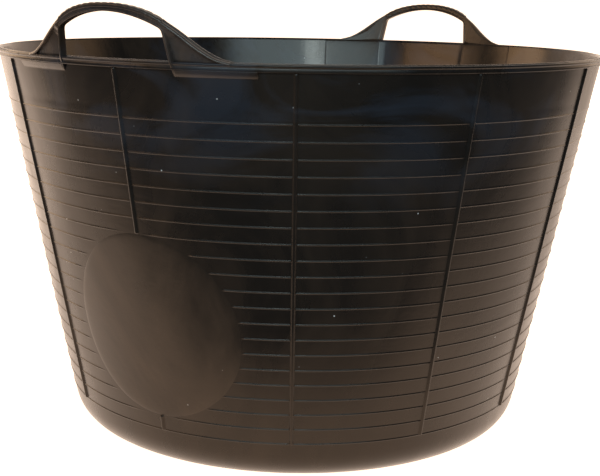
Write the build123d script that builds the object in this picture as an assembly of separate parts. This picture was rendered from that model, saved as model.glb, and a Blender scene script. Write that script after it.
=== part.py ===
from build123d import *
import os
from math import atan2, degrees, hypot

# A flexible mixing tub, moulded in one piece: a round tapered wall with hoop ridges and
# vertical ribs, a beaded rim, and two arched handles that bend at their feet.
# Each region of the moulding is a solid of its own, and neighbours meet face to face.
# Millimetres, +Z up, origin at the middle of the underside, handles on +X and -X.

# ---- driving dimensions ----
RIM_HEIGHT = 370.6            # underside to the top of the rim lip
RIM_RADIUS = 295.0            # outside of the wall, carried up to rim height
CONE_FOOT_RADIUS = 222.2      # outside of the wall, carried down to the ground
CORNER_RADIUS = 33.0          # outside radius between floor and wall
WALL = 3.0                    # moulding thickness

LIP_HEIGHT = 2.4              # raised inner lip of the rim
LIP_WIDTH = 2.0
BEAD_HEIGHT = 2.8             # rounded outer bead of the rim
BEAD_TOP_DROP = 0.6           # bead top below the lip top
BEAD_REACH = 3.4              # bead beyond the wall
BEAD_EDGE = 0.9               # taken off the bead's outer edges
SKIRT_HEIGHT = 3.4            # flat band under the bead
SKIRT_REACH = 2.8

RIB_COUNT = 12
RIB_WIDTH = 4.0
RIB_REACH = 1.8
HOOP_COUNT = 21
HOOP_TOP = 323.1              # height of the highest hoop ridge
HOOP_PITCH = 14.235
HOOP_BASE_WIDTH = 1.8
HOOP_CREST_WIDTH = 0.8
HOOP_REACH = 0.8

PAD_RADIUS = 85.5             # blank round label pad under the left handle
PAD_HEIGHT = 138.0
PAD_REACH = 0.5

HANDLE_RISE = 43.3            # handle top above the rim
HANDLE_SWEEP = [              # half of its outline: along the rim, height above the rim
    (0, HANDLE_RISE),
    (20, 42.0),
    (40, 36.9),
    (60, 25.6),
    (80, 10.5),
    (92, 3.4),
    (103, 0.3),
]
OPENING_RISE = 37.0           # underside of the bar above the rim
OPENING_HALF_WIDTH = 54.4     # at the rim
POST_LEAN = 0.13              # the opening narrows this much for each millimetre of height
ARCH_RADIUS = 107.7           # underside of the bar
OPENING_CORNER = 5.0          # between a post and the bar
FLANGE_WIDTH = 3.0            # outer flange, seen from the side of the tub
INNER_FLANGE_WIDTH = 2.3
FLANGE_REACH = 4.0
ROOT_GAP = 2.4                # bending room between the rim and a handle
HANDLE_HALF_LENGTH = 78.0
OUTLINE_STEPS = 24            # stations along a handle's top when it is moved
TAIL_START = 80.0             # the rest of each handle's sweep belongs to the rim
GRIP_HALF_LENGTH = 50.0
GRIP_CORE_REACH = 3.0
STRAND_COUNT = 15
STRAND_PITCH = 6.9
STRAND_WIDTH = 4.6
STRAND_RISE = 1.0
STRAND_LEAN = 35.0            # degrees

FOOT_BAND_DROP = 12.5         # lower edge of the thickened feet below the rim
FOOT_BAND_START = 59.5        # along the rim from the middle of the handle, past the gusset
FOOT_BAND_END = 125.0
FOOT_BAND_LOW_REACH = 1.6     # beyond the wall at its lower edge, the skirt's reach above
GUSSET_REACH = 4.2

# ---- worked out from them ----
SLOPE = (RIM_RADIUS - CONE_FOOT_RADIUS) / RIM_HEIGHT
WALL_ACROSS = WALL * hypot(1, SLOPE)       # wall thickness measured level
NORMAL_X = 1 / hypot(1, SLOPE)             # outward normal of the wall's cone
NORMAL_Z = -SLOPE / hypot(1, SLOPE)
CORNER_MIDDLE = CONE_FOOT_RADIUS - CORNER_RADIUS * (1 + NORMAL_Z) / NORMAL_X
WALL_TOP = RIM_HEIGHT - LIP_HEIGHT
BEAD_TOP = RIM_HEIGHT - BEAD_TOP_DROP
BEAD_FOOT = BEAD_TOP - BEAD_HEIGHT
SKIRT_FOOT = BEAD_FOOT - SKIRT_HEIGHT
HOOP_BOTTOM = HOOP_TOP - HOOP_PITCH * (HOOP_COUNT - 1)
HANDLE_FOOT = RIM_HEIGHT + ROOT_GAP
FAR = RIM_RADIUS + 60.0                    # beyond everything
NEAR = RIM_RADIUS / 2                      # between the tub's axis and its wall
DRAWN_BELOW = 25.0                         # handle faces are drawn this far below the rim
DRAWN_ABOVE = 6.0                          # and the shells that cut them, this far over the bar


def cone_radius(z):
    """Outside radius of the wall, also above the rim."""
    return CONE_FOOT_RADIUS + SLOPE * z


def turned(points, arc=360.0):
    """Solid of revolution about Z from a closed outline of (radius, z) points."""
    outline = Plane.XZ * make_face(Polyline(*points, close=True))
    return revolve(outline, Axis.Z, arc)


def cone_ring(low, high, inside, outside):
    """Ring that follows the wall's cone, between two level offsets from it."""
    return turned([
        (cone_radius(low) + inside, low),
        (cone_radius(low) + outside, low),
        (cone_radius(high) + outside, high),
        (cone_radius(high) + inside, high),
    ])


def upright(face):
    """Prism through the +X side of the tub from a face drawn in (y, z)."""
    return extrude(Plane.YZ.offset(NEAR) * face, FAR - NEAR)


def band_face(y_low, y_high, z_low, z_high):
    size = Rectangle(y_high - y_low, z_high - z_low)
    return Pos((y_low + y_high) / 2, (z_low + z_high) / 2) * size


def write(name, shape):
    export_step(shape, f"parts/{name}.step")


# ---- floor, corner and wall ----
def corner_point(radius, at_floor):
    if at_floor:
        return (CORNER_MIDDLE, CORNER_RADIUS - radius)
    return (CORNER_MIDDLE + radius * NORMAL_X, CORNER_RADIUS + radius * NORMAL_Z)


def make_floor():
    return extrude(Circle(CORNER_MIDDLE), WALL)


def make_base_corner():
    inner_radius = CORNER_RADIUS - WALL
    tilt = degrees(atan2(NORMAL_Z, NORMAL_X))
    outer = CenterArc((CORNER_MIDDLE, CORNER_RADIUS), CORNER_RADIUS, -90, 90 + tilt)
    inner = CenterArc((CORNER_MIDDLE, CORNER_RADIUS), inner_radius, -90, 90 + tilt)
    floor_end = Line(corner_point(CORNER_RADIUS, True), corner_point(inner_radius, True))
    wall_end = Line(corner_point(CORNER_RADIUS, False), corner_point(inner_radius, False))
    return revolve(Plane.XZ * make_face(outer + wall_end + inner + floor_end), Axis.Z)


def make_wall():
    return turned([
        corner_point(CORNER_RADIUS, False),
        (cone_radius(WALL_TOP), WALL_TOP),
        (cone_radius(WALL_TOP) - WALL_ACROSS, WALL_TOP),
        corner_point(CORNER_RADIUS - WALL, False),
    ])


# ---- rim ----
def make_rim_lip():
    return cone_ring(WALL_TOP, RIM_HEIGHT, -WALL_ACROSS, LIP_WIDTH - WALL_ACROSS)


def make_rim_bead():
    """Outer bead with both of its outer edges taken off, level with the skirt and the lip."""
    low = BEAD_FOOT
    high = BEAD_TOP
    outer_low = cone_radius(low) + BEAD_REACH
    outer_high = cone_radius(high) + BEAD_REACH
    return turned([
        (cone_radius(low), low),
        (outer_low - BEAD_EDGE, low),
        (outer_low, low + BEAD_EDGE),
        (outer_high, high - BEAD_EDGE),
        (outer_high - BEAD_EDGE, high),
        (cone_radius(high), high),
    ])


def make_rim_skirt():
    return cone_ring(SKIRT_FOOT, BEAD_FOOT, 0, SKIRT_REACH)


# ---- wall relief: pad, ribs, hoop ridges ----
def pad_cutter():
    face = Pos(0, PAD_HEIGHT) * Circle(PAD_RADIUS)
    return Rot(0, 0, 180) * upright(face)


def make_pad():
    low = PAD_HEIGHT - PAD_RADIUS
    high = PAD_HEIGHT + PAD_RADIUS
    return cone_ring(low, high, 0, PAD_REACH) & pad_cutter()


def rib_face():
    half = RIB_WIDTH / 2
    low = HOOP_BOTTOM - HOOP_BASE_WIDTH / 2
    shank = band_face(-half, half, low, SKIRT_FOOT - half)
    return shank + Pos(0, SKIRT_FOOT - half) * Circle(half)


def make_ribs():
    """Ribs in turn from +X, cut away where they would cross the pad."""
    ring = cone_ring(HOOP_BOTTOM - HOOP_BASE_WIDTH, SKIRT_FOOT, 0, RIB_REACH)
    rib = ring & upright(rib_face())
    ribs = [Rot(0, 0, 360 / RIB_COUNT * i) * rib for i in range(RIB_COUNT)]
    opposite = RIB_COUNT // 2
    ribs[opposite] = ribs[opposite] - pad_cutter()
    return ribs


def make_hoops():
    """Hoop ridges between neighbouring ribs, one group for each gap."""
    half_base = HOOP_BASE_WIDTH / 2
    half_crest = HOOP_CREST_WIDTH / 2
    rib_slot = band_face(-RIB_WIDTH / 2, RIB_WIDTH / 2, 0, RIM_HEIGHT)
    cutters = [Rot(0, 0, 360 / RIB_COUNT * i) * upright(rib_slot) for i in range(RIB_COUNT)]
    cutters.append(pad_cutter())
    groups = [[] for _ in range(RIB_COUNT)]
    for i in range(HOOP_COUNT):
        z = HOOP_TOP - HOOP_PITCH * i
        ring = turned([
            (cone_radius(z - half_base), z - half_base),
            (cone_radius(z - half_crest) + HOOP_REACH, z - half_crest),
            (cone_radius(z + half_crest) + HOOP_REACH, z + half_crest),
            (cone_radius(z + half_base), z + half_base),
        ])
        for piece in (ring - cutters).solids():
            middle = piece.center()
            angle = degrees(atan2(middle.Y, middle.X)) % 360
            groups[int(angle // (360 / RIB_COUNT))].append(piece)
    return groups


# ---- handles, drawn in (y, height above the rim) for the +X side ----
def handle_face(shift=0.0):
    """Side of a handle: a humped top that sweeps down into the rim, moved out by shift."""
    other_half = [(-y, z) for y, z in reversed(HANDLE_SWEEP[1:])]
    top = Spline(*[Vector(y, RIM_HEIGHT + z) for y, z in other_half + HANDLE_SWEEP])
    if shift:
        steps = [i / OUTLINE_STEPS for i in range(OUTLINE_STEPS + 1)]
        top = Spline(*[top @ t + (top % t).rotate(Axis.Z, 90) * shift for t in steps])
    start = top @ 0
    end = top @ 1
    low = RIM_HEIGHT - DRAWN_BELOW
    sides = Polyline(end, (end.X, low), (start.X, low), start)
    return make_face(top + sides)


def opening_face(margin=0.0):
    """The finger opening: leaning posts under a flat arch, grown by a margin."""
    half = OPENING_HALF_WIDTH + margin
    half_low = half + POST_LEAN * DRAWN_BELOW
    half_high = half - POST_LEAN * HANDLE_RISE
    low = RIM_HEIGHT - DRAWN_BELOW
    high = RIM_HEIGHT + HANDLE_RISE
    posts = make_face(Polyline(
        (-half_low, low), (half_low, low), (half_high, high), (-half_high, high), close=True))
    arch = Pos(0, RIM_HEIGHT + OPENING_RISE - ARCH_RADIUS) * Circle(ARCH_RADIUS + margin)
    opening = posts & arch
    corners = opening.vertices().sort_by(Axis.Y)[-2:]
    return fillet(corners, OPENING_CORNER + margin)


def handle_zone(inside, outside):
    """Conical shell above the root gap, no longer than the moving part of a handle."""
    high = RIM_HEIGHT + HANDLE_RISE + DRAWN_ABOVE
    shell = cone_ring(HANDLE_FOOT, high, inside, outside)
    return shell & upright(band_face(-HANDLE_HALF_LENGTH, HANDLE_HALF_LENGTH, HANDLE_FOOT, high))


def make_handle():
    """The pieces of the +X handle by name."""
    side = handle_face()
    inset = handle_face(-FLANGE_WIDTH)
    opening = opening_face()
    surround = opening_face(INNER_FLANGE_WIDTH)
    web_zone = handle_zone(-WALL_ACROSS, 0)
    flange_zone = handle_zone(0, FLANGE_REACH)

    groove = (inset - surround) & band_face(
        -GRIP_HALF_LENGTH, GRIP_HALF_LENGTH, RIM_HEIGHT, RIM_HEIGHT + HANDLE_RISE)
    raised = handle_face(STRAND_RISE) - side
    strand_zone = handle_zone(-WALL_ACROSS, FLANGE_REACH) & upright(raised)
    strands = []
    for i in range(STRAND_COUNT):
        y = (i - (STRAND_COUNT - 1) / 2) * STRAND_PITCH
        slab = Box(FAR, STRAND_WIDTH, FAR)
        slab = Pos(cone_radius(RIM_HEIGHT), y, RIM_HEIGHT) * Rot(0, 0, STRAND_LEAN) * slab
        strands.extend((strand_zone & slab).solids())
    return {
        "web": web_zone & upright(side - opening),
        "outer_flange": flange_zone & upright(side - inset),
        "inner_flange": flange_zone & upright((surround - opening) & inset),
        "grip_core": handle_zone(0, GRIP_CORE_REACH) & upright(groove),
        "grip_strands": Compound(children=strands),
    }


def make_tail():
    """End of a handle's sweep, where it runs out along the rim."""
    end = handle_face() & band_face(TAIL_START, FAR, RIM_HEIGHT, RIM_HEIGHT + HANDLE_RISE)
    return cone_ring(RIM_HEIGHT, RIM_HEIGHT + HANDLE_RISE, -WALL_ACROSS, BEAD_REACH) & upright(end)


def make_foot_band():
    """Thickened skirt under one foot of a handle, beside the gusset."""
    low = RIM_HEIGHT - FOOT_BAND_DROP
    section = Plane.XZ * make_face(Polyline(
        (cone_radius(low), low),
        (cone_radius(low) + FOOT_BAND_LOW_REACH, low),
        (cone_radius(SKIRT_FOOT) + SKIRT_REACH, SKIRT_FOOT),
        (cone_radius(SKIRT_FOOT), SKIRT_FOOT),
        close=True))
    start = degrees(FOOT_BAND_START / RIM_RADIUS)
    sweep = degrees((FOOT_BAND_END - FOOT_BAND_START) / RIM_RADIUS)
    return Rot(0, 0, start) * revolve(section, Axis.Z, sweep)


def make_gusset():
    """Fin that carries the edge of the opening down across the rim."""
    low = RIM_HEIGHT - FOOT_BAND_DROP
    edge = opening_face(INNER_FLANGE_WIDTH) - opening_face()
    face = edge & band_face(0, FAR, low, SKIRT_FOOT)
    return cone_ring(low, SKIRT_FOOT, 0, GUSSET_REACH) & upright(face)


def main():
    os.makedirs("parts", exist_ok=True)
    write("floor", make_floor())
    write("base_corner", make_base_corner())
    write("wall", make_wall())
    write("rim_lip", make_rim_lip())
    write("rim_bead", make_rim_bead())
    write("rim_skirt", make_rim_skirt())
    write("label_pad", make_pad())
    for i, rib in enumerate(make_ribs()):
        write(f"vertical_rib_{i + 1:02d}", rib)
    for i, pieces in enumerate(make_hoops()):
        write(f"hoop_ridges_{i + 1:02d}", Compound(children=pieces))

    handle = make_handle()
    feet = {"handle_tail": make_tail(), "foot_band": make_foot_band(), "gusset": make_gusset()}
    for side, turn in (("right", 0), ("left", 180)):
        for name, shape in handle.items():
            write(f"handle_{side}_{name}", Rot(0, 0, turn) * shape)
        for name, shape in feet.items():
            write(f"{name}_{side}_b", Rot(0, 0, turn) * shape)
            write(f"{name}_{side}_a", Rot(0, 0, turn) * mirror(shape, Plane.XZ))


main()
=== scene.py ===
"""Mortar mixing tub: the looks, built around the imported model.

The tub's shell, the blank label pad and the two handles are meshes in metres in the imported
frame: +Z up, handles on +X and -X. Lengths named here are in millimetres unless a comment says
otherwise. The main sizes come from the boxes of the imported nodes, the detail from values below.
"""
import math

import bmesh
import bpy
import numpy as np
from mathutils import Matrix, Vector


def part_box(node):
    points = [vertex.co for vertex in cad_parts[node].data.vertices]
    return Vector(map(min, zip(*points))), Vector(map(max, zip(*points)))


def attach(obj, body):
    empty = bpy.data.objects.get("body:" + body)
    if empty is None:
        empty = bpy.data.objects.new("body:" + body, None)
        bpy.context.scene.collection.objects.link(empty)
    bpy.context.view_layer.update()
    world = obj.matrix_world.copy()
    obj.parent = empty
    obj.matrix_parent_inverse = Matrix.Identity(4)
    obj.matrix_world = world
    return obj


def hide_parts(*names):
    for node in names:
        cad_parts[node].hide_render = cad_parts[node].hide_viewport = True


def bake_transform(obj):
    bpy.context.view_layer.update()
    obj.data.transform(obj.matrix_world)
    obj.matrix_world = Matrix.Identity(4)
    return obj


MM = 0.001

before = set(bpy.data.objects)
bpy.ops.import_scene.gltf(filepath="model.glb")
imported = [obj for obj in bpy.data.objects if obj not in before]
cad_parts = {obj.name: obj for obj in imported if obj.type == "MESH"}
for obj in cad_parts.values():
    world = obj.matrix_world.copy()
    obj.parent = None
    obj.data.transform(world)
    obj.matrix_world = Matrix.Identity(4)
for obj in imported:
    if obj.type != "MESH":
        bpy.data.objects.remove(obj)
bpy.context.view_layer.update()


def top_of(node, axis):
    """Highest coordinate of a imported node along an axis, in millimetres."""
    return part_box(node)[1][axis] / MM


def foot_of(node, axis):
    """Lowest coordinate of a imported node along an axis, in millimetres."""
    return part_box(node)[0][axis] / MM


# ---- sizes read from the frame ----
X, Y, Z = 0, 1, 2
RIM = top_of("rim_lip", Z)                       # top of the rim lip
WALL_TOP = top_of("wall", Z)
WALL_LOW = foot_of("wall", Z)
TOP_RADIUS = top_of("wall", X)
LOW_RADIUS = top_of("base_corner", X)
SLOPE = (TOP_RADIUS - LOW_RADIUS) / (WALL_TOP - WALL_LOW)
FLOOR_RADIUS = top_of("floor", X)
FLOOR_THICK = top_of("floor", Z)
SKIRT_LOW = foot_of("rim_skirt", Z)
BEAD_LOW = foot_of("rim_bead", Z)
BEAD_TOP = top_of("rim_bead", Z)
BAND_LOW = foot_of("foot_band_right_b", Z)
PAD_MIDDLE = (top_of("label_pad", Z) + foot_of("label_pad", Z)) / 2
PAD_RADIUS = top_of("label_pad", Y)
HOOP_HALF = 0.9
HOOP_COUNT = 21
HOOP_TOP = top_of("hoop_ridges_01", Z) - HOOP_HALF
HOOP_LOW = foot_of("hoop_ridges_01", Z) + HOOP_HALF
HOOP_PITCH = (HOOP_TOP - HOOP_LOW) / (HOOP_COUNT - 1)

# ---- sizes of the moulding's detail ----
WALL = FLOOR_THICK
WALL_ACROSS = WALL * math.hypot(1, SLOPE)
RIB_COUNT = 12
RIB_HALF = 1.75
RIB_REACH = 1.7
HOOP_REACH = 0.6
HOOP_EDGE = 0.8                                  # half width of a ridge
HOOP_FADE = (3.0, 14.0)                          # fades by the label pad: -Y side, +Y side
SKIRT_REACH = 2.8
BEAD_REACH = 3.35
BAND_START = 57.0                                # foot band along the rim, from mid handle
BAND_END = 125.0
BAND_LOW_REACH = 0.7
STEP_RISE = 5.6                                  # faint step above the highest hoop
STEP_REACH = 0.09
NOTCH_DEPTH = 0.35                               # mould mark across the bead beside each foot
FOOT_BACKING = 0.3                               # extra wall inside, behind each foot
FOOT_BACKING_DROP = 95.0

# ---- how the shell's grid is laid out ----
RIB_STEPS = (0.0, 0.9, 1.5, 1.9, 2.3, 3.0)       # columns either side of a rib's middle
BAND_STEPS = (-1.2, -0.5, 0.0, 0.5, 1.2)         # columns either side of a band's end
PLAIN_COLUMNS = 10                               # between two ribs
PAD_COLUMNS = 72                                 # between two ribs by the label pad
LEAST_TURN = 0.05                                # degrees between columns
HOOP_STEPS = (-1.6, -0.95, -0.75, -0.5, -0.22, 0.22, 0.5, 0.75, 0.95, 1.6)
INSIDE_ROWS = 40
UNDERSIDE = ((40, 1.2), (110, 1.2), (168, 1.2), (176, 1.0), (182, 0.25), (186, 0.0))
FLOOR_RADII = (180, 130, 70, 30)


def cone(z):
    """Outside radius of the plain wall at a height."""
    return LOW_RADIUS + SLOPE * (z - WALL_LOW)


def smooth(value):
    """Smooth step from 0 to 1 of a value clipped to that range."""
    clipped = np.clip(value, 0.0, 1.0)
    return clipped * clipped * (3.0 - 2.0 * clipped)


def mesh_piece(name, vertices, faces, material):
    """A smooth-shaded mesh object from vertices in millimetres."""
    mesh = bpy.data.meshes.new(name)
    mesh.from_pydata((np.asarray(vertices) * MM).tolist(), [], faces)
    piece = bpy.data.objects.new(name, mesh)
    bpy.context.scene.collection.objects.link(piece)
    work = bmesh.new()
    work.from_mesh(mesh)
    bmesh.ops.remove_doubles(work, verts=work.verts, dist=0.002 * MM)
    bmesh.ops.recalc_face_normals(work, faces=work.faces)
    work.to_mesh(mesh)
    work.free()
    mesh.shade_smooth()
    mesh.materials.append(material)
    return piece


def grid_faces(rows, columns, offset=0, close_rows=False, close_columns=False):
    """Quads of a grid of vertices stored row by row."""
    faces = []
    for i in range(rows if close_rows else rows - 1):
        low = offset + i * columns
        high = offset + ((i + 1) % rows) * columns
        for j in range(columns if close_columns else columns - 1):
            k = (j + 1) % columns
            faces.append((low + j, low + k, high + k, high + j))
    return faces


# ---- the tub's shell ----
def column_angles():
    """Angles of the shell's columns: close together at ribs, feet and the label pad."""
    reference = cone((HOOP_TOP + HOOP_LOW) / 2)
    sector = 360.0 / RIB_COUNT
    edge = math.degrees(RIB_STEPS[-1] / reference)
    angles = []
    for i in range(RIB_COUNT):
        middle = i * sector
        for step in RIB_STEPS:
            turn = math.degrees(step / reference)
            angles += [middle - turn, middle + turn]
        pad_side = abs(middle + sector / 2 - 180.0) < sector
        count = PAD_COLUMNS if pad_side else PLAIN_COLUMNS
        gap = (sector - 2 * edge) / count
        angles += [middle + edge + gap * k for k in range(1, count)]
    for handle in (0.0, 180.0):
        for along_rim in (BAND_START, BAND_END):
            for step in BAND_STEPS:
                turn = math.degrees((along_rim + step) / TOP_RADIUS)
                angles += [handle - turn, handle + turn]
    angles = np.unique(np.round(np.mod(angles, 360.0), 3))
    keep = np.ones(len(angles), bool)
    keep[1:] = np.diff(angles) > LEAST_TURN
    return np.radians(angles[keep])


def wall_heights():
    """Heights of the rows on the outside of the wall."""
    heights = [WALL_LOW, (WALL_LOW + HOOP_LOW) / 2]
    for i in range(HOOP_COUNT):
        hoop = HOOP_LOW + i * HOOP_PITCH
        heights += [hoop + step for step in HOOP_STEPS]
        heights.append(hoop + HOOP_PITCH / 2)
    step_height = HOOP_TOP + STEP_RISE
    heights = [z for z in heights if z < step_height - 1.5]
    heights += [step_height - 0.6, step_height + 0.6]
    heights += list(np.linspace(step_height + 4.0, BAND_LOW - 3.0, 6))
    heights += [BAND_LOW + step for step in (-1.0, -0.3, 0.0, 0.35, 1.5)]
    heights += [SKIRT_LOW - step for step in (2.4, 1.2, 0.5, 0.05)]
    return np.array(heights)


def from_rib(angle):
    """Angle from the nearest rib's middle, in radians."""
    sector = 2 * math.pi / RIB_COUNT
    return angle - np.round(angle / sector) * sector


def from_handle(angle):
    """Distance along the rim from the middle of the nearest handle."""
    return np.abs(angle - np.round(angle / math.pi) * math.pi) * TOP_RADIUS


def waviness(angle, z):
    """Slow unevenness of a thin moulding in mm, none of it at the rim or the ground."""
    height = np.clip((z - WALL_LOW) / (WALL_TOP - WALL_LOW), 0, 1)
    free = np.sin(math.pi * height) ** 0.7
    slow = 0.45 * np.sin(3 * angle + 0.6) + 0.30 * np.sin(5 * angle + 2.1 + 2.2 * height)
    dents = 0.16 * np.sin(17 * angle + 5 * height) * np.sin(9 * height + 4 * angle)
    ripple = 0.05 * np.sin(41 * angle + 11 * height) * np.sin(23 * height + 7 * angle)
    inward = 0.35
    return free * (slow + dents + ripple - inward)


def from_pad(angle, z):
    """Distance from the middle of the label pad, and far away on the other side of the tub."""
    across = cone(z) * np.sin(angle)
    on_pad_side = np.cos(angle) < 0
    return np.where(on_pad_side, np.hypot(across, z - PAD_MIDDLE), PAD_RADIUS * 3)


def rib_relief(rib_gap, z):
    """Vertical ribs, with rounded edges and ends that run out into the wall."""
    low_end = smooth((z - HOOP_LOW + HOOP_HALF) / 1.2)
    high_end = smooth((SKIRT_LOW + 0.4 - z) / 1.6)
    return RIB_REACH * smooth(RIB_HALF + 0.15 - rib_gap) * low_end * high_end


def hoop_relief(rib_gap, z):
    """Level hoop ridges that stop just short of the ribs."""
    nearest = np.round((z - HOOP_LOW) / HOOP_PITCH)
    in_range = (nearest >= 0) & (nearest < HOOP_COUNT)
    gap = np.abs(z - HOOP_LOW - nearest * HOOP_PITCH)
    crest = HOOP_REACH * smooth((HOOP_EDGE - gap) / 0.6)
    return crest * in_range * smooth((rib_gap - RIB_HALF - 0.1) / 0.9)


def band_relief(angle, z):
    """Thickened bands under the handles' feet, which slope out to the skirt above them."""
    along_rim = from_handle(angle)
    start = smooth((along_rim - BAND_START + 0.6) / 0.8)
    end = smooth(BAND_END - along_rim + 0.5)
    share = np.clip((z - BAND_LOW) / (SKIRT_LOW - BAND_LOW), 0, 1)
    reach = BAND_LOW_REACH + (SKIRT_REACH - BAND_LOW_REACH) * share
    return reach * start * end * smooth((z - BAND_LOW + 0.3) / 2.0)


def outside_relief(angle, z):
    """What stands out of the plain wall: ribs, hoop ridges, the feet's bands and a faint step."""
    rib_gap = np.abs(cone(z) * np.sin(from_rib(angle)))
    past_pad = from_pad(angle, z) - PAD_RADIUS
    fade = np.where(np.sin(angle) > 0, HOOP_FADE[1], HOOP_FADE[0])
    rib = rib_relief(rib_gap, z) * smooth((past_pad + 0.4) / 1.2)
    hoop = hoop_relief(rib_gap, z) * smooth(past_pad / fade)
    step = STEP_REACH * smooth((HOOP_TOP + STEP_RISE - z) / 1.2 + 0.5)
    band = band_relief(angle, z)
    on_wall = band < 0.05
    return np.maximum(np.maximum(rib, hoop), band) + step * on_wall


def inside_relief(angle, z):
    """Slightly thicker wall behind the handles' feet, with a fine edge."""
    along_rim = from_handle(angle)
    start = smooth((along_rim - BAND_START + 1.2) / 1.2)
    end = smooth((BAND_END - along_rim) / 1.2 + 0.5)
    return FOOT_BACKING * start * end * smooth((z - RIM + FOOT_BACKING_DROP) / 12.0)


def rim_rows():
    """Level offset and height of the rows round the rim, from the skirt to the inner lip."""
    skirt = [
        (0.35, SKIRT_LOW),
        (2.4, SKIRT_LOW),
        (2.78, SKIRT_LOW + 0.1),
        (3.0, SKIRT_LOW + 0.35),
        (SKIRT_REACH + 0.12, SKIRT_LOW + 1.0),
        (SKIRT_REACH - 0.28, BEAD_LOW - 0.35),
        (SKIRT_REACH - 0.45, BEAD_LOW - 0.05),
        (SKIRT_REACH - 0.1, BEAD_LOW + 0.2),
    ]
    middle = (BEAD_LOW + BEAD_TOP) / 2
    half = (BEAD_TOP - BEAD_LOW) / 2
    turns = np.radians(np.linspace(-35, 90, 8))
    bead = [(BEAD_REACH - 1.55 + 1.5 * math.cos(t), middle + half * math.sin(t)) for t in turns]
    groove = [
        (0.9, BEAD_TOP - 0.05),
        (0.3, BEAD_TOP - 0.35),
        (0.0, BEAD_TOP - 0.9),
        (-0.2, BEAD_TOP - 1.35),
        (-0.7, BEAD_TOP - 1.4),
        (-0.95, BEAD_TOP - 1.0),
    ]
    lip = [
        (-1.1, RIM - 0.45),
        (-1.3, RIM - 0.12),
        (-1.65, RIM),
        (-2.5, RIM),
        (-WALL_ACROSS + 0.2, RIM - 0.12),
        (-WALL_ACROSS, RIM - 0.45),
    ]
    return skirt + bead + groove + lip


def notch(angle, z):
    """Small marks that the mould leaves across the bead beside each foot."""
    mark = smooth(1.0 - np.abs(from_handle(angle) - BAND_END) / 0.7)
    return -NOTCH_DEPTH * mark * smooth((z - BEAD_LOW) / 0.8)


def corner_radius():
    """Outside radius of the corner, which is also the height of its middle."""
    return WALL_LOW / (1 - math.sin(math.atan(SLOPE)))


def corner_rows(radius, count):
    """Radius and height of the rows round the corner, from the floor up to the wall."""
    steep = math.degrees(math.atan(SLOPE))
    turns = np.radians(np.linspace(-90, -steep, count))
    middle_z = corner_radius()
    return [(FLOOR_RADIUS + radius * math.cos(t), middle_z + radius * math.sin(t)) for t in turns]


def make_shell(material):
    """The whole shell as one closed skin: underside, wall, rim, inside and floor."""
    angles = column_angles()
    cosine, sine = np.cos(angles), np.sin(angles)
    columns = len(angles)
    rings = []

    def ring(radius, z):
        """One row of vertices at a height; the radius is one number or one for each column."""
        rings.append(np.stack([radius * cosine, radius * sine, np.full(columns, z)], axis=1))

    outer_corner = corner_radius()
    for radius, z in UNDERSIDE:
        ring(radius, z)
    for radius, z in corner_rows(outer_corner, 14)[:-1]:
        ring(radius, z)
    for z in wall_heights():
        ring(cone(z) + waviness(angles, z) + outside_relief(angles, z), z)
    for offset, z in rim_rows():
        ring(cone(z) + offset + notch(angles, z) * (offset > SKIRT_REACH), z)
    for z in np.linspace(RIM - 3.0, WALL_LOW + 1.0, INSIDE_ROWS):
        ring(cone(z) - WALL_ACROSS + waviness(angles, z) - inside_relief(angles, z), z)
    for radius, z in corner_rows(outer_corner - WALL, 12)[-2::-1]:
        ring(radius, z)
    for radius in FLOOR_RADII:
        ring(radius, FLOOR_THICK)

    middles = [[0, 0, UNDERSIDE[0][1]], [0, 0, FLOOR_THICK]]
    vertices = np.concatenate(rings + [middles])
    faces = grid_faces(len(rings), columns, close_columns=True)
    low_middle = len(rings) * columns
    high_middle = low_middle + 1
    last = low_middle - columns
    for j in range(columns):
        k = (j + 1) % columns
        faces.append((k, j, low_middle))
        faces.append((last + j, last + k, high_middle))
    return mesh_piece("tub_shell", vertices, faces, material)


def coat_inside(shell, plastic):
    """Give the faces of the inside, from the lip down to the floor, their own plastic."""
    shell.data.materials.append(plastic)
    for face in shell.data.polygons:
        middle = face.center / MM
        within = math.hypot(middle.x, middle.y) < cone(middle.z) - WALL_ACROSS + 1.0
        above_floor = middle.z > FLOOR_THICK - 0.5
        not_underside = face.normal.z > -0.1
        if within and above_floor and not_underside:
            face.material_index = 1


# ---- blank label pad ----
def on_shell(y, z, offset, side):
    """Point over the wall's cone at (y, z), offset level from it, on +X or -X."""
    radius = cone(z) + offset
    return np.stack([side * np.sqrt(radius ** 2 - y ** 2), y, z], axis=-1)


PAD_LIFT = 0.4                                   # pad's face over the wall
PAD_DEPTH = -1.2                                 # its back, inside the wall
PAD_EDGE = ((1.0, PAD_DEPTH), (1.0, 0.02), (0.993, 0.12), (0.98, 0.24), (0.965, 0.33))
PAD_FACE = (0.94, 0.88, 0.78, 0.66, 0.54, 0.42, 0.3, 0.18, 0.08)
PAD_SPOKES = 180


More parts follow.
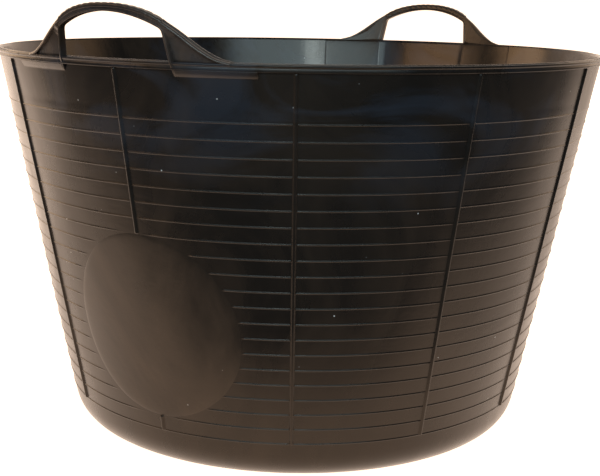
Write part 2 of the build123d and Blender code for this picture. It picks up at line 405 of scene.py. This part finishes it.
def make_pad(material):
    """Round blank pad with a soft edge, lying on the uneven wall."""
    rings = list(PAD_EDGE) + [(share, PAD_LIFT) for share in PAD_FACE]
    turns = np.linspace(0, 2 * math.pi, PAD_SPOKES, endpoint=False)
    points = []
    for share, offset in rings:
        y = PAD_RADIUS * share * np.sin(turns)
        z = PAD_MIDDLE + PAD_RADIUS * share * np.cos(turns)
        wave = waviness(np.arctan2(y, -cone(z)), z)
        points.append(on_shell(y, z, offset + wave, -1))
    middle_y, middle_z = np.array([0.0]), np.array([PAD_MIDDLE])
    middle_wave = waviness(np.array([math.pi]), middle_z)
    for offset in (PAD_LIFT, PAD_DEPTH):
        points.append(on_shell(middle_y, middle_z, offset + middle_wave, -1))
    faces = grid_faces(len(rings), PAD_SPOKES, close_columns=True)
    crown = len(rings) * PAD_SPOKES
    last = crown - PAD_SPOKES
    for j in range(PAD_SPOKES):
        k = (j + 1) % PAD_SPOKES
        faces.append((last + j, last + k, crown))
        faces.append((k, j, crown + 1))
    return mesh_piece("label_pad_blank", np.concatenate(points), faces, material)


# ---- handles ----
HANDLE_RISE = 43.3
OUTLINE = (                                      # half of its top: along the rim, rise above it
    (0, HANDLE_RISE), (20, 42.0), (40, 36.9), (60, 25.6), (80, 10.5), (92, 3.4), (103, 0.2),
)
OPENING_RISE = 37.0
OPENING_HALF = 54.4
POST_LEAN = 0.13
ARCH_RADIUS = 107.7
OPENING_CORNER = 5.0
FIN_LOW = BAND_LOW - RIM + 0.2                   # where the opening's edge ends below the rim
POST_HEIGHTS = (14.0, 7.0, 0.0, -6.0, FIN_LOW)
OUTLINE_SPACING = 0.62
OPENING_SPACING = 1.1
GRIP_HALF = 52.0
STRAND_PITCH = 6.9
STRAND_RISE = 0.6
STRAND_LEAN = 0.8                                # shift along the bar for each mm round it
FLANGE_FRONT = 3.9
FLANGE_WIDTH = 3.0
FLANGE_ARCH_WIDTH = 0.3                          # more of it over the opening
BACK = -3.25
FIN_WIDTH = 2.3
FIN_NARROWING = 0.6                              # less of it under the bar
FIN_TAPER = 3.3                                  # drawn in towards its low end
FIN_BACK = -1.0                                  # its back below the rim, inside the wall
WEB_FRONT = 2.9
WEB_SHOULDER = 0.85                              # more of it beyond the grip
WEB_INSET = 1.2
WEB_SHARES = np.linspace(0.0, 1.0, 7)            # rows of the web from its outer to its inner edge
WEB_FOOT = -2.0                                  # web's low end, below the rim
WEB_OUTER_STOPS = (0, 52, 62, 76)                # where arch, corner, post and tail start
WEB_INNER_CORNER = 25.3                          # heights on the opening's edge that match them
WEB_INNER_POST = 19
WEB_COUNTS = (40, 8, 12)
WEB_TAIL_COUNT = 20


def opening_half():
    """Half of the opening's edge from the crown: arch, round corner, leaning post, fin."""
    steep = math.hypot(1.0, POST_LEAN)
    arch_low = OPENING_RISE - ARCH_RADIUS
    reach = ARCH_RADIUS - OPENING_CORNER
    foot = OPENING_HALF - OPENING_CORNER * steep
    # the corner's middle is reach away from the arch's middle, on the post's line moved inwards
    a = 1.0 + POST_LEAN ** 2
    b = -2.0 * (foot * POST_LEAN + arch_low)
    c = foot ** 2 + arch_low ** 2 - reach ** 2
    corner_h = (-b + math.sqrt(b * b - 4 * a * c)) / (2 * a)
    corner_y = foot - POST_LEAN * corner_h
    arch_end = math.atan2(corner_y, corner_h - arch_low)
    turns = np.linspace(0, arch_end, 8)
    arch = [(ARCH_RADIUS * math.sin(t), arch_low + ARCH_RADIUS * math.cos(t)) for t in turns]
    post_turn = math.pi / 2 - math.atan(POST_LEAN)
    corner = [
        (corner_y + OPENING_CORNER * math.sin(t), corner_h + OPENING_CORNER * math.cos(t))
        for t in np.linspace(arch_end, post_turn, 5)[1:]
    ]
    post = [(OPENING_HALF - POST_LEAN * h, h) for h in POST_HEIGHTS]
    return arch + corner + post


def run_of(curve):
    """Distance along a curve at each of its points."""
    return np.concatenate([[0], np.cumsum(np.linalg.norm(np.diff(curve, axis=0), axis=1))])


def evenly(curve, count):
    """Evenly spaced points along a curve."""
    run = run_of(curve)
    even = np.linspace(0, run[-1], count)
    return np.stack([np.interp(even, run, curve[:, k]) for k in (0, 1)], axis=1)


def through(points, spacing):
    """Even points on a smooth curve through the given ones, mirrored to a whole handle."""
    half = np.array(points, float)
    whole = np.concatenate([half[:0:-1] * [-1, 1], half])
    before = 2 * whole[0] - whole[1]
    after = 2 * whole[-1] - whole[-2]
    knots = np.concatenate([[before], whole, [after]])
    t = np.linspace(0, 1, 24, endpoint=False)[:, None]
    dense = []
    for i in range(1, len(knots) - 2):
        p0, p1, p2, p3 = knots[i - 1:i + 3]
        length = np.linalg.norm(p2 - p1)
        tangent_1 = (p2 - p0) * length / np.linalg.norm(p2 - p0)
        tangent_2 = (p3 - p1) * length / np.linalg.norm(p3 - p1)
        from_p1 = (2 * t ** 3 - 3 * t ** 2 + 1) * p1 + (t ** 3 - 2 * t ** 2 + t) * tangent_1
        from_p2 = (3 * t ** 2 - 2 * t ** 3) * p2 + (t ** 3 - t ** 2) * tangent_2
        dense.append(from_p1 + from_p2)
    dense = np.concatenate(dense + [whole[-1:]])
    return evenly(dense, int(run_of(dense)[-1] / spacing) + 1)


def outward(curve):
    """Unit normals of a curve that runs from -y to +y over the top, pointing away from below."""
    tangent = np.gradient(curve, axis=0)
    tangent /= np.linalg.norm(tangent, axis=1)[:, None]
    return np.stack([-tangent[:, 1], tangent[:, 0]], axis=1)


def tube_faces(rows, columns, start):
    """Faces of a closed tube of vertices stored ring by ring, with both of its ends."""
    faces = grid_faces(rows, columns, start, close_columns=True)
    last = start + (rows - 1) * columns
    faces.append(tuple(range(start, start + columns)))
    faces.append(tuple(range(last + columns - 1, last - 1, -1)))
    return faces


def swept(curve, sections, side, start):
    """Closed tube: sections hold (outward, level offset) pairs for each point of the curve."""
    normal = outward(curve)
    points = []
    for place, across, section in zip(curve, normal, sections):
        y = place[0] + across[0] * section[:, 0]
        z = RIM + place[1] + across[1] * section[:, 0]
        points.append(on_shell(side * y, z, section[:, 1], side))
    return np.concatenate(points), tube_faces(len(points), len(sections[0]), start)


def strand_bump(y, around):
    """Rounded twisted strands that lean as they wrap round the bar."""
    phase = (y + STRAND_LEAN * around) / STRAND_PITCH
    place = 2 * (phase - np.floor(phase)) - 1
    return np.sqrt(np.clip(1 - place ** 2, 0, 1)) ** 0.8


# outward on the swoop, outward on the grip, level offset, how much of a strand stands out
FLANGE_SECTION = np.array([
    (-2.0, -5.3, BACK + 0.3, 0.0),
    (-1.8, -5.0, BACK, 0.35),
    (-1.5, -4.2, BACK, 0.9),
    (-1.2, -3.3, BACK, 1.0),
    (-0.9, -2.4, BACK, 1.0),
    (-0.6, -1.5, BACK, 1.0),
    (-0.30, -0.8, BACK + 0.05, 1.0),
    (-0.10, -0.3, BACK + 0.25, 1.0),
    (0.0, -0.05, BACK + 0.7, 1.0),
    (0.0, 0.0, -2.1, 1.0),
    (-0.08, 0.0, -1.5, 1.0),
    (-0.45, 0.0, -1.05, 1.0),
    (-1.15, 0.0, -0.75, 1.0),
    (-1.15, 0.0, -0.3, 1.0),
    (-0.85, 0.0, 0.05, 1.0),
    (-0.62, 0.0, 0.5, 1.0),
    (-0.52, 0.0, 1.2, 1.0),
    (-0.55, 0.0, 2.0, 1.0),
    (-0.72, -0.1, 2.7, 0.95),
    (-1.05, -0.4, 3.3, 0.85),
    (-1.55, -0.95, 3.7, 0.6),
    (-2.1, -1.7, FLANGE_FRONT, 0.3),
    (-2.6, -2.5, FLANGE_FRONT, 0.0),
])
BACK_POINTS = FLANGE_SECTION[:, 2] < BACK + 0.1
FRONT_POINTS = FLANGE_SECTION[:, 2] > 3.2
AROUND = FLANGE_FRONT - FLANGE_SECTION[:, 2] + np.where(BACK_POINTS, -FLANGE_SECTION[:, 1], 0.0)


def eased(value):
    """Smooth step of one plain number."""
    return float(smooth(np.array(value)))


def flange_sections(curve):
    """Outer flange: the rim's lip, groove and bead swept over the handle, roped at the top."""
    up_share = np.where(BACK_POINTS, 0.0, np.where(FRONT_POINTS, 0.6, 1.0))
    out_share = np.where(BACK_POINTS, -0.75, np.where(FRONT_POINTS, 0.35, 0.0))
    sections = []
    for y, _ in curve:
        grip = eased((GRIP_HALF - abs(y)) / 3.0 + 0.5)
        arch = eased((66.0 - abs(y)) / 26.0)
        width = FLANGE_WIDTH + FLANGE_ARCH_WIDTH * arch
        across = FLANGE_SECTION[:, 0] * (1 - grip) + FLANGE_SECTION[:, 1] * grip
        bump = FLANGE_SECTION[:, 3] * grip * STRAND_RISE * strand_bump(y, AROUND)
        top = np.stack([across + up_share * bump, FLANGE_SECTION[:, 2] + out_share * bump], axis=1)
        low = np.array([
            (-(width - 0.55), FLANGE_FRONT),
            (-(width - 0.2), FLANGE_FRONT - 0.15),
            (-width, FLANGE_FRONT - 0.6),
            (-width, 1.0),
            (-width, -1.5),
            (-width, BACK + 0.5),
        ])
        sections.append(np.concatenate([top, low]))
    return sections


def fin_sections(curve):
    """Inner flange round the opening, which runs down over the rim as a tapering fin."""
    sections = []
    for _, h in curve:
        below = eased(-h / 3.0)
        arch = eased((h - 16.0) / 12.0)
        width = FIN_WIDTH - FIN_NARROWING * arch
        front = FLANGE_FRONT - FIN_TAPER * max(0.0, h / FIN_LOW) ** 1.5
        back = BACK * (1 - below) + FIN_BACK * below
        sections.append(np.array([
            (0.35, back), (0.08, back + 0.12), (0.0, back + 0.45), (0.0, 0.0),
            (0.0, front - 0.6), (0.1, front - 0.2), (0.4, front),
            (width - 0.4, front), (width - 0.1, front - 0.2), (width, front - 0.6),
            (width, 0.0), (width, back + 0.1), (width - 0.1, back),
        ]))
    return sections


def web_points(outer, inner):
    """Matching points along both edges of the web, from the -y tail to the +y tail."""
    outer_right = outer[outer[:, 0] >= 0]
    inner_right = inner[(inner[:, 0] >= 0) & (inner[:, 1] >= WEB_FOOT)]
    outer_stops = [int(np.argmin(np.abs(outer_right[:, 0] - y))) for y in WEB_OUTER_STOPS]
    on_post = inner_right[:, 0] > 40
    inner_stops = [0]
    for height in (WEB_INNER_CORNER, WEB_INNER_POST):
        off = np.where(on_post, np.abs(inner_right[:, 1] - height), 99)
        inner_stops.append(int(np.argmin(off)))
    inner_stops.append(len(inner_right) - 1)
    pairs = []
    for k, count in enumerate(WEB_COUNTS):
        outer_part = evenly(outer_right[outer_stops[k]:outer_stops[k + 1] + 1], count)
        inner_part = evenly(inner_right[inner_stops[k]:inner_stops[k + 1] + 1], count)
        pairs.append(np.concatenate([outer_part, inner_part], axis=1)[:-1])
    tail = evenly(outer_right[outer_stops[-1]:], WEB_TAIL_COUNT)
    foot = np.linspace(inner_right[-1], (OUTLINE[-1][0], WEB_FOOT), WEB_TAIL_COUNT)
    pairs.append(np.concatenate([tail, foot], axis=1))
    right = np.concatenate(pairs)
    left = right[:0:-1] * [-1, 1, -1, 1]
    return np.concatenate([left, right])


def make_web(outer, inner, side, start):
    """Thin plate between the two flanges: recessed in the feet, nearly full along the bar."""
    pairs = web_points(outer, inner)
    points = []
    for y_out, h_out, y_in, h_in in pairs:
        in_bar = eased((h_in - 13.0) / 9.0)
        shoulder = eased((abs(y_in) - 36.0) / 8.0)
        front = (WEB_FRONT + WEB_SHOULDER * shoulder) * in_bar
        top, edge = np.array([y_out, h_out]), np.array([y_in, h_in])
        length = np.linalg.norm(top - edge)
        pull = (top - edge) / max(length, 0.01) * min(WEB_INSET, length * 0.15)
        line = (top - pull) + ((edge + pull) - (top - pull)) * WEB_SHARES[:, None]
        for offset, path in ((front, line), (BACK + 0.06, line[::-1])):
            y, z = path[:, 0], RIM + path[:, 1]
            points.append(on_shell(side * y, z, np.full(len(y), offset), side))
    return np.concatenate(points), tube_faces(len(pairs), 2 * len(WEB_SHARES), start)


def make_handle(name, side, material):
    """One handle on +X or -X: outer flange with its rope, inner flange and the web between."""
    outer = through(OUTLINE, OUTLINE_SPACING)
    inner = through(opening_half(), OPENING_SPACING)
    flange, faces = swept(outer, flange_sections(outer), side, 0)
    fin, fin_faces = swept(inner, fin_sections(inner), side, len(flange))
    web, web_faces = make_web(outer, inner, side, len(flange) + len(fin))
    vertices = np.concatenate([flange, fin, web])
    return mesh_piece(name, vertices, faces + fin_faces + web_faces, material)


# ---- materials ----
BLACK = (0.0025, 0.0024, 0.0024, 1.0)
# bluish tint of the flow marks: a painted reflection of the cool window light
FLOW_MARK_REFLECTION_BLUE = (0.012, 0.0165, 0.023, 1.0)
DUST_BROWN = (0.120, 0.072, 0.042, 1.0)
SPECK = (0.45, 0.42, 0.37, 1.0)
SPECULAR = 0.38
SPECULAR_TINT = (1.0, 0.84, 0.68, 1.0)
SHEEN = 0.04
SHEEN_TINT = (1.0, 0.72, 0.5, 1.0)
BLUE_REFLECTION_LOW = 0.24                                 # metres; the flow marks' painted blue reflection begins at this height
BLUE_REFLECTION_FULL = 0.34                                # metres; and is strongest from here up


def node_tree(name):
    """A new material with its nodes and its main shader."""
    material = bpy.data.materials.new(name)
    material.use_nodes = True
    tree = material.node_tree
    return material, tree, tree.nodes["Principled BSDF"]


def add(tree, kind, **values):
    """A node with its input sockets set by name."""
    node = tree.nodes.new(kind)
    for key, value in values.items():
        node.inputs[key.replace("_", " ")].default_value = value
    return node


def ramp(tree, source, low, high, colour_low, colour_high):
    """Colour that changes from one to another as a value goes from low to high."""
    node = tree.nodes.new("ShaderNodeValToRGB")
    node.color_ramp.elements[0].position = low
    node.color_ramp.elements[1].position = high
    node.color_ramp.elements[0].color = colour_low
    node.color_ramp.elements[1].color = colour_high
    tree.links.new(source, node.inputs["Fac"])
    return node.outputs["Color"]


def grey(value):
    """Colour without a hue."""
    return (value, value, value, 1.0)


def product(tree, first, second):
    """Product of two value sockets."""
    node = tree.nodes.new("ShaderNodeMath")
    node.operation = "MULTIPLY"
    tree.links.new(first, node.inputs[0])
    tree.links.new(second, node.inputs[1])
    return node.outputs["Value"]


def mixed(tree, share, first, second):
    """Mix of two colours, each a socket or a colour."""
    node = tree.nodes.new("ShaderNodeMix")
    node.data_type = "RGBA"
    for index, value in ((0, share), (6, first), (7, second)):
        if isinstance(value, (tuple, float)):
            node.inputs[index].default_value = value
        else:
            tree.links.new(value, node.inputs[index])
    return node.outputs[2]


def polyethylene(name, dust, roughness):
    """Black flexible plastic with flow marks painted bluish near the rim as a reflection of cool
    light, a film of brown dust, pale specks and scuffs.
    """
    material, tree, shader = node_tree(name)
    links = tree.links
    place = tree.nodes.new("ShaderNodeTexCoord").outputs["Object"]

    def noise(scale, detail, rough, distortion=0.0, stretch=(1.0, 1.0, 1.0)):
        """Value of a noise over the piece, finer along an axis that is stretched."""
        mapping = add(tree, "ShaderNodeMapping", Scale=stretch)
        links.new(place, mapping.inputs["Vector"])
        node = add(tree, "ShaderNodeTexNoise", Scale=scale, Detail=detail, Roughness=rough,
                   Distortion=distortion)
        links.new(mapping.outputs["Vector"], node.inputs["Vector"])
        return node.outputs["Fac"]

    def bump(height, strength, distance, under=None):
        """Normal of a bump, laid over another one if there is one."""
        node = add(tree, "ShaderNodeBump", Strength=strength, Distance=distance)
        links.new(height, node.inputs["Height"])
        if under is not None:
            links.new(under, node.inputs["Normal"])
        return node.outputs["Normal"]

    flow = noise(6.5, 6.0, 0.55, 2.2, (1.0, 1.0, 1.4))
    film = noise(9.0, 8.0, 0.6, 2.2, (1.0, 1.0, 0.6))
    grain = noise(900.0, 2.0, 0.6)
    scuffs = noise(34.0, 4.0, 0.7, 0.3, (1.0, 1.0, 5.0))

    # a few of the cells hold a speck at their middle
    cells = add(tree, "ShaderNodeTexVoronoi", Scale=120.0, Randomness=1.0)
    links.new(place, cells.inputs["Vector"])
    near_middle = ramp(tree, cells.outputs["Distance"], 0.05, 0.10, grey(1.0), grey(0.0))
    split = tree.nodes.new("ShaderNodeSeparateColor")
    links.new(cells.outputs["Color"], split.inputs["Color"])
    chosen = ramp(tree, split.outputs["Red"], 0.955, 0.965, grey(0.0), grey(1.0))
    speck = product(tree, near_middle, chosen)

    # flow marks painted bluish under the rim only, a painted reflection of the cool window light,
    # then dust over all of it
    height = tree.nodes.new("ShaderNodeSeparateXYZ")
    links.new(place, height.inputs["Vector"])
    painted_blue_near_rim = ramp(tree, height.outputs["Z"], BLUE_REFLECTION_LOW, BLUE_REFLECTION_FULL, grey(0.0), grey(1.0))
    marks_painted_blue = ramp(tree, flow, 0.46, 0.62, BLACK, FLOW_MARK_REFLECTION_BLUE)
    black_with_painted_blue = mixed(tree, painted_blue_near_rim, BLACK, marks_painted_blue)
    dusty = ramp(tree, film, 0.38, 0.64, grey(dust * 0.3), grey(dust * 1.25))
    colour = mixed(tree, dusty, black_with_painted_blue, DUST_BROWN)
    links.new(mixed(tree, speck, colour, SPECK), shader.inputs["Base Color"])

    rough = ramp(tree, film, 0.3, 0.75, grey(roughness - 0.03), grey(roughness + 0.09))
    links.new(rough, shader.inputs["Roughness"])
    shader.inputs["Specular IOR Level"].default_value = SPECULAR
    shader.inputs["Specular Tint"].default_value = SPECULAR_TINT
    shader.inputs["Sheen Weight"].default_value = SHEEN
    shader.inputs["Sheen Roughness"].default_value = 0.4
    shader.inputs["Sheen Tint"].default_value = SHEEN_TINT

    waves = bump(flow, 0.3, 0.0012)
    scuffed = bump(scuffs, 0.15, 0.0004, waves)
    links.new(bump(grain, 0.12, 0.0001, scuffed), shader.inputs["Normal"])
    return material


# ---- camera, lights and floor ----
BACKDROP = (1.66, 1.28, 1.02)     # a little over white in warm light, as in a shadowless studio
CAMERA_AZIMUTH = -59.455          # degrees from -Y towards +X
CAMERA_DISTANCE = 1.2136          # metres from the tub's axis
CAMERA_HEIGHT = 0.4214            # metres
CAMERA_PITCH = 11.447             # degrees down
CAMERA_YAW = 0.138                # degrees
CAMERA_ROLL = 1.007               # degrees
CAMERA_LENS = 71.59
ROOM_ABOVE = (0.50, 0.45, 0.40, 1.0)
ROOM_IN_FRONT = (0.10, 0.105, 0.115, 1.0)
FLOOR_PAINT = (0.2, 0.2, 0.2, 1.0)
FLOOR_REACH = 9.0                 # metres
FLOOR_DROP = -0.0004              # metres, just under the tub


def turned_about_z(x, y, z):
    """A direction or place given with +Y away from the camera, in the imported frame."""
    return Matrix.Rotation(math.radians(CAMERA_AZIMUTH), 3, "Z") @ Vector((x, y, z))


def make_camera():
    """Camera of the photograph's view, by its place, its three turns and its lens."""
    pitch = math.radians(CAMERA_PITCH)
    yaw = math.radians(CAMERA_YAW)
    roll = math.radians(CAMERA_ROLL)
    ahead = turned_about_z(math.sin(yaw) * math.cos(pitch), math.cos(yaw) * math.cos(pitch),
                           -math.sin(pitch))
    level = turned_about_z(math.cos(yaw), -math.sin(yaw), 0.0)
    above = level.cross(ahead)
    right = level * math.cos(roll) + above * math.sin(roll)
    up = above * math.cos(roll) - level * math.sin(roll)
    data = bpy.data.cameras.new("camera")
    data.lens = CAMERA_LENS
    data.sensor_width = 36.0
    data.clip_start = 0.05
    camera = bpy.data.objects.new("camera", data)
    rotation = Matrix((right, up, -ahead)).transposed().to_4x4()
    place = turned_about_z(0.0, -CAMERA_DISTANCE, CAMERA_HEIGHT)
    camera.matrix_world = Matrix.Translation(place) @ rotation
    bpy.context.scene.collection.objects.link(camera)
    bpy.context.scene.camera = camera


COOL = (0.52, 0.78, 1.0)
WARM = (1.0, 0.66, 0.38)
# name, place, target, size, power in watts, colour; +Y away from the camera, metres
LIGHTS = (
    ("overhead", (0.0, 1.0, 2.3), (0, 0.9, 0), (3.4, 1.8), 18.0, (1.0, 0.93, 0.85)),
    ("window", (-0.1, -2.6, 1.35), (0, 0, 0.35), (3.6, 1.1), 60.0, COOL),
    ("window_gap", (-0.32, -2.55, 1.33), (0, 0, 0.35), (0.3, 0.7), 8.0, (0.66, 0.86, 1.0)),
    ("left_lamp", (-1.7, 0.9, 0.8), (0, 0, 0.25), (0.9, 0.9), 9.0, WARM),
    ("right_lamp", (1.7, 0.9, 0.8), (0, 0, 0.25), (0.9, 0.9), 3.0, WARM),
    ("warm_left", (-2.3, -0.95, 1.05), (0, 0, 0.36), (1.5, 0.8), 13.0, (1.0, 0.68, 0.43)),
)


def area_light(name, place, target, size, power, colour):
    """Rectangular lamp that points at its target."""
    data = bpy.data.lights.new(name, "AREA")
    data.shape = "RECTANGLE"
    data.size, data.size_y = size
    data.energy = power
    data.color = colour
    lamp = bpy.data.objects.new(name, data)
    start = turned_about_z(*place)
    aim = turned_about_z(*target) - start
    lamp.location = start
    lamp.rotation_euler = aim.to_track_quat("-Z", "Y").to_euler()
    bpy.context.scene.collection.objects.link(lamp)


def make_lights():
    """Big soft sources: one overhead, a cool window by the camera and warm lamps at the sides."""
    for row in LIGHTS:
        area_light(*row)


def along(tree, vector, axis, low, high, share_low=0.0, share_high=1.0):
    """Share that changes smoothly with a vector's length along an axis."""
    towards = tree.nodes.new("ShaderNodeVectorMath")
    towards.operation = "DOT_PRODUCT"
    towards.inputs[1].default_value = axis
    tree.links.new(vector, towards.inputs[0])
    share = tree.nodes.new("ShaderNodeMapRange")
    share.interpolation_type = "SMOOTHSTEP"
    share.inputs["From Min"].default_value = low
    share.inputs["From Max"].default_value = high
    share.inputs["To Min"].default_value = share_low
    share.inputs["To Max"].default_value = share_high
    tree.links.new(towards.outputs["Value"], share.inputs["Value"])
    return share.outputs["Result"]


def make_world():
    """Bright backdrop behind the tub, a dim room above it and a dark one on the camera's side."""
    world = bpy.data.worlds.new("studio")
    bpy.context.scene.world = world
    world.use_nodes = True
    tree = world.node_tree
    background = tree.nodes["Background"]
    direction = tree.nodes.new("ShaderNodeTexCoord").outputs["Generated"]

    front = along(tree, direction, turned_about_z(0.0, -1.0, 0.0), -0.85, -0.35)
    overhead = along(tree, direction, (0.0, 0.0, 1.0), 0.05, 0.5)
    behind = mixed(tree, overhead, (*BACKDROP, 1.0), ROOM_ABOVE)
    colour = mixed(tree, front, behind, ROOM_IN_FRONT)
    tree.links.new(colour, background.inputs["Color"])


# painted light on the floor: level direction with +Y away from the camera, the two distances along
# it in metres between which the floor's painted glow changes, and the glow's share at each of them
DIAGONAL = math.sqrt(0.5)
POOL_OF_LIGHT = (
    ((0.0, 1.0, 0.0), -0.43, -0.27, 0.0, 1.0),
    ((-DIAGONAL, DIAGONAL, 0.0), -0.72, -0.50, 0.0, 1.0),
    ((DIAGONAL, DIAGONAL, 0.0), -1.0, -0.45, 0.0, 1.0),
    # painted shade beyond the right edge of view, where the tub's shadow falls on the floor
    ((0.970, -0.243, 0.0), 0.33, 0.47, 1.0, 0.72),
    # painted light, brighter towards the back left
    ((-0.8, 0.6, 0.0), 0.60, 1.10, 1.0, 1.4),
)


def floor_with_painted_glow():
    """Matt floor of mid grey paint with a painted pool of pale glow under and behind the tub,
    painted shade beyond the right edge of view and more glow to the back left.
    """
    material, tree, shader = node_tree("floor_with_painted_glow")
    shader.inputs["Base Color"].default_value = FLOOR_PAINT
    shader.inputs["Roughness"].default_value = 0.9
    shader.inputs["Specular IOR Level"].default_value = 0.0
    shader.inputs["Emission Color"].default_value = (*BACKDROP, 1.0)
    place = tree.nodes.new("ShaderNodeTexCoord").outputs["Object"]
    shares = [along(tree, place, turned_about_z(*axis), *change) for axis, *change in POOL_OF_LIGHT]
    light = shares[0]
    for share in shares[1:]:
        light = product(tree, light, share)
    tree.links.new(light, shader.inputs["Emission Strength"])
    return material


def make_floor():
    """One large flat floor, square to the camera, glowing with painted light."""
    work = bmesh.new()
    corners = ((-1, -1), (1, -1), (1, 1), (-1, 1))
    work.faces.new([
        work.verts.new(turned_about_z(x * FLOOR_REACH, y * FLOOR_REACH, FLOOR_DROP))
        for x, y in corners
    ])
    mesh = bpy.data.meshes.new("floor_with_painted_glow")
    work.to_mesh(mesh)
    work.free()
    mesh.materials.append(floor_with_painted_glow())
    plane = bpy.data.objects.new("floor_with_painted_glow", mesh)
    bpy.context.scene.collection.objects.link(plane)


# ---- assembly ----
# how dusty and how rough each region of the plastic is
TUB_FINISH = (0.08, 0.26)
INSIDE_FINISH = (0.16, 0.20)
PAD_FINISH = (0.16, 0.28)
HANDLE_FINISH = (0.40, 0.24)


def nodes_named(*starts):
    """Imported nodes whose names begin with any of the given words."""
    return [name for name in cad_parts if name.startswith(starts)]


def build_tub():
    """Shell and blank pad, which stand for the tub's body but for its tails and gussets."""
    shell = make_shell(polyethylene("tub_polyethylene", *TUB_FINISH))
    coat_inside(shell, polyethylene("inside_polyethylene", *INSIDE_FINISH))
    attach(shell, "tub")
    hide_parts("floor", "base_corner", "wall", "rim_lip", "rim_bead", "rim_skirt",
                *nodes_named("vertical_rib_", "hoop_ridges_", "foot_band_"))

    pad = make_pad(polyethylene("pad_polyethylene", *PAD_FINISH))
    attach(pad, "tub")
    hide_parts("label_pad")


def build_handles():
    """Two handles with their tails and gussets."""
    plastic = polyethylene("handle_polyethylene", *HANDLE_FINISH)
    for name, side in (("right", 1), ("left", -1)):
        handle = make_handle(f"handle_{name}", side, plastic)
        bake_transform(handle)
        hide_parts(*nodes_named(f"handle_{name}_", f"handle_tail_{name}_", f"gusset_{name}_"))


build_tub()
build_handles()
make_floor()
make_world()
make_lights()
make_camera()
bpy.context.scene.view_settings.view_transform = "Standard"
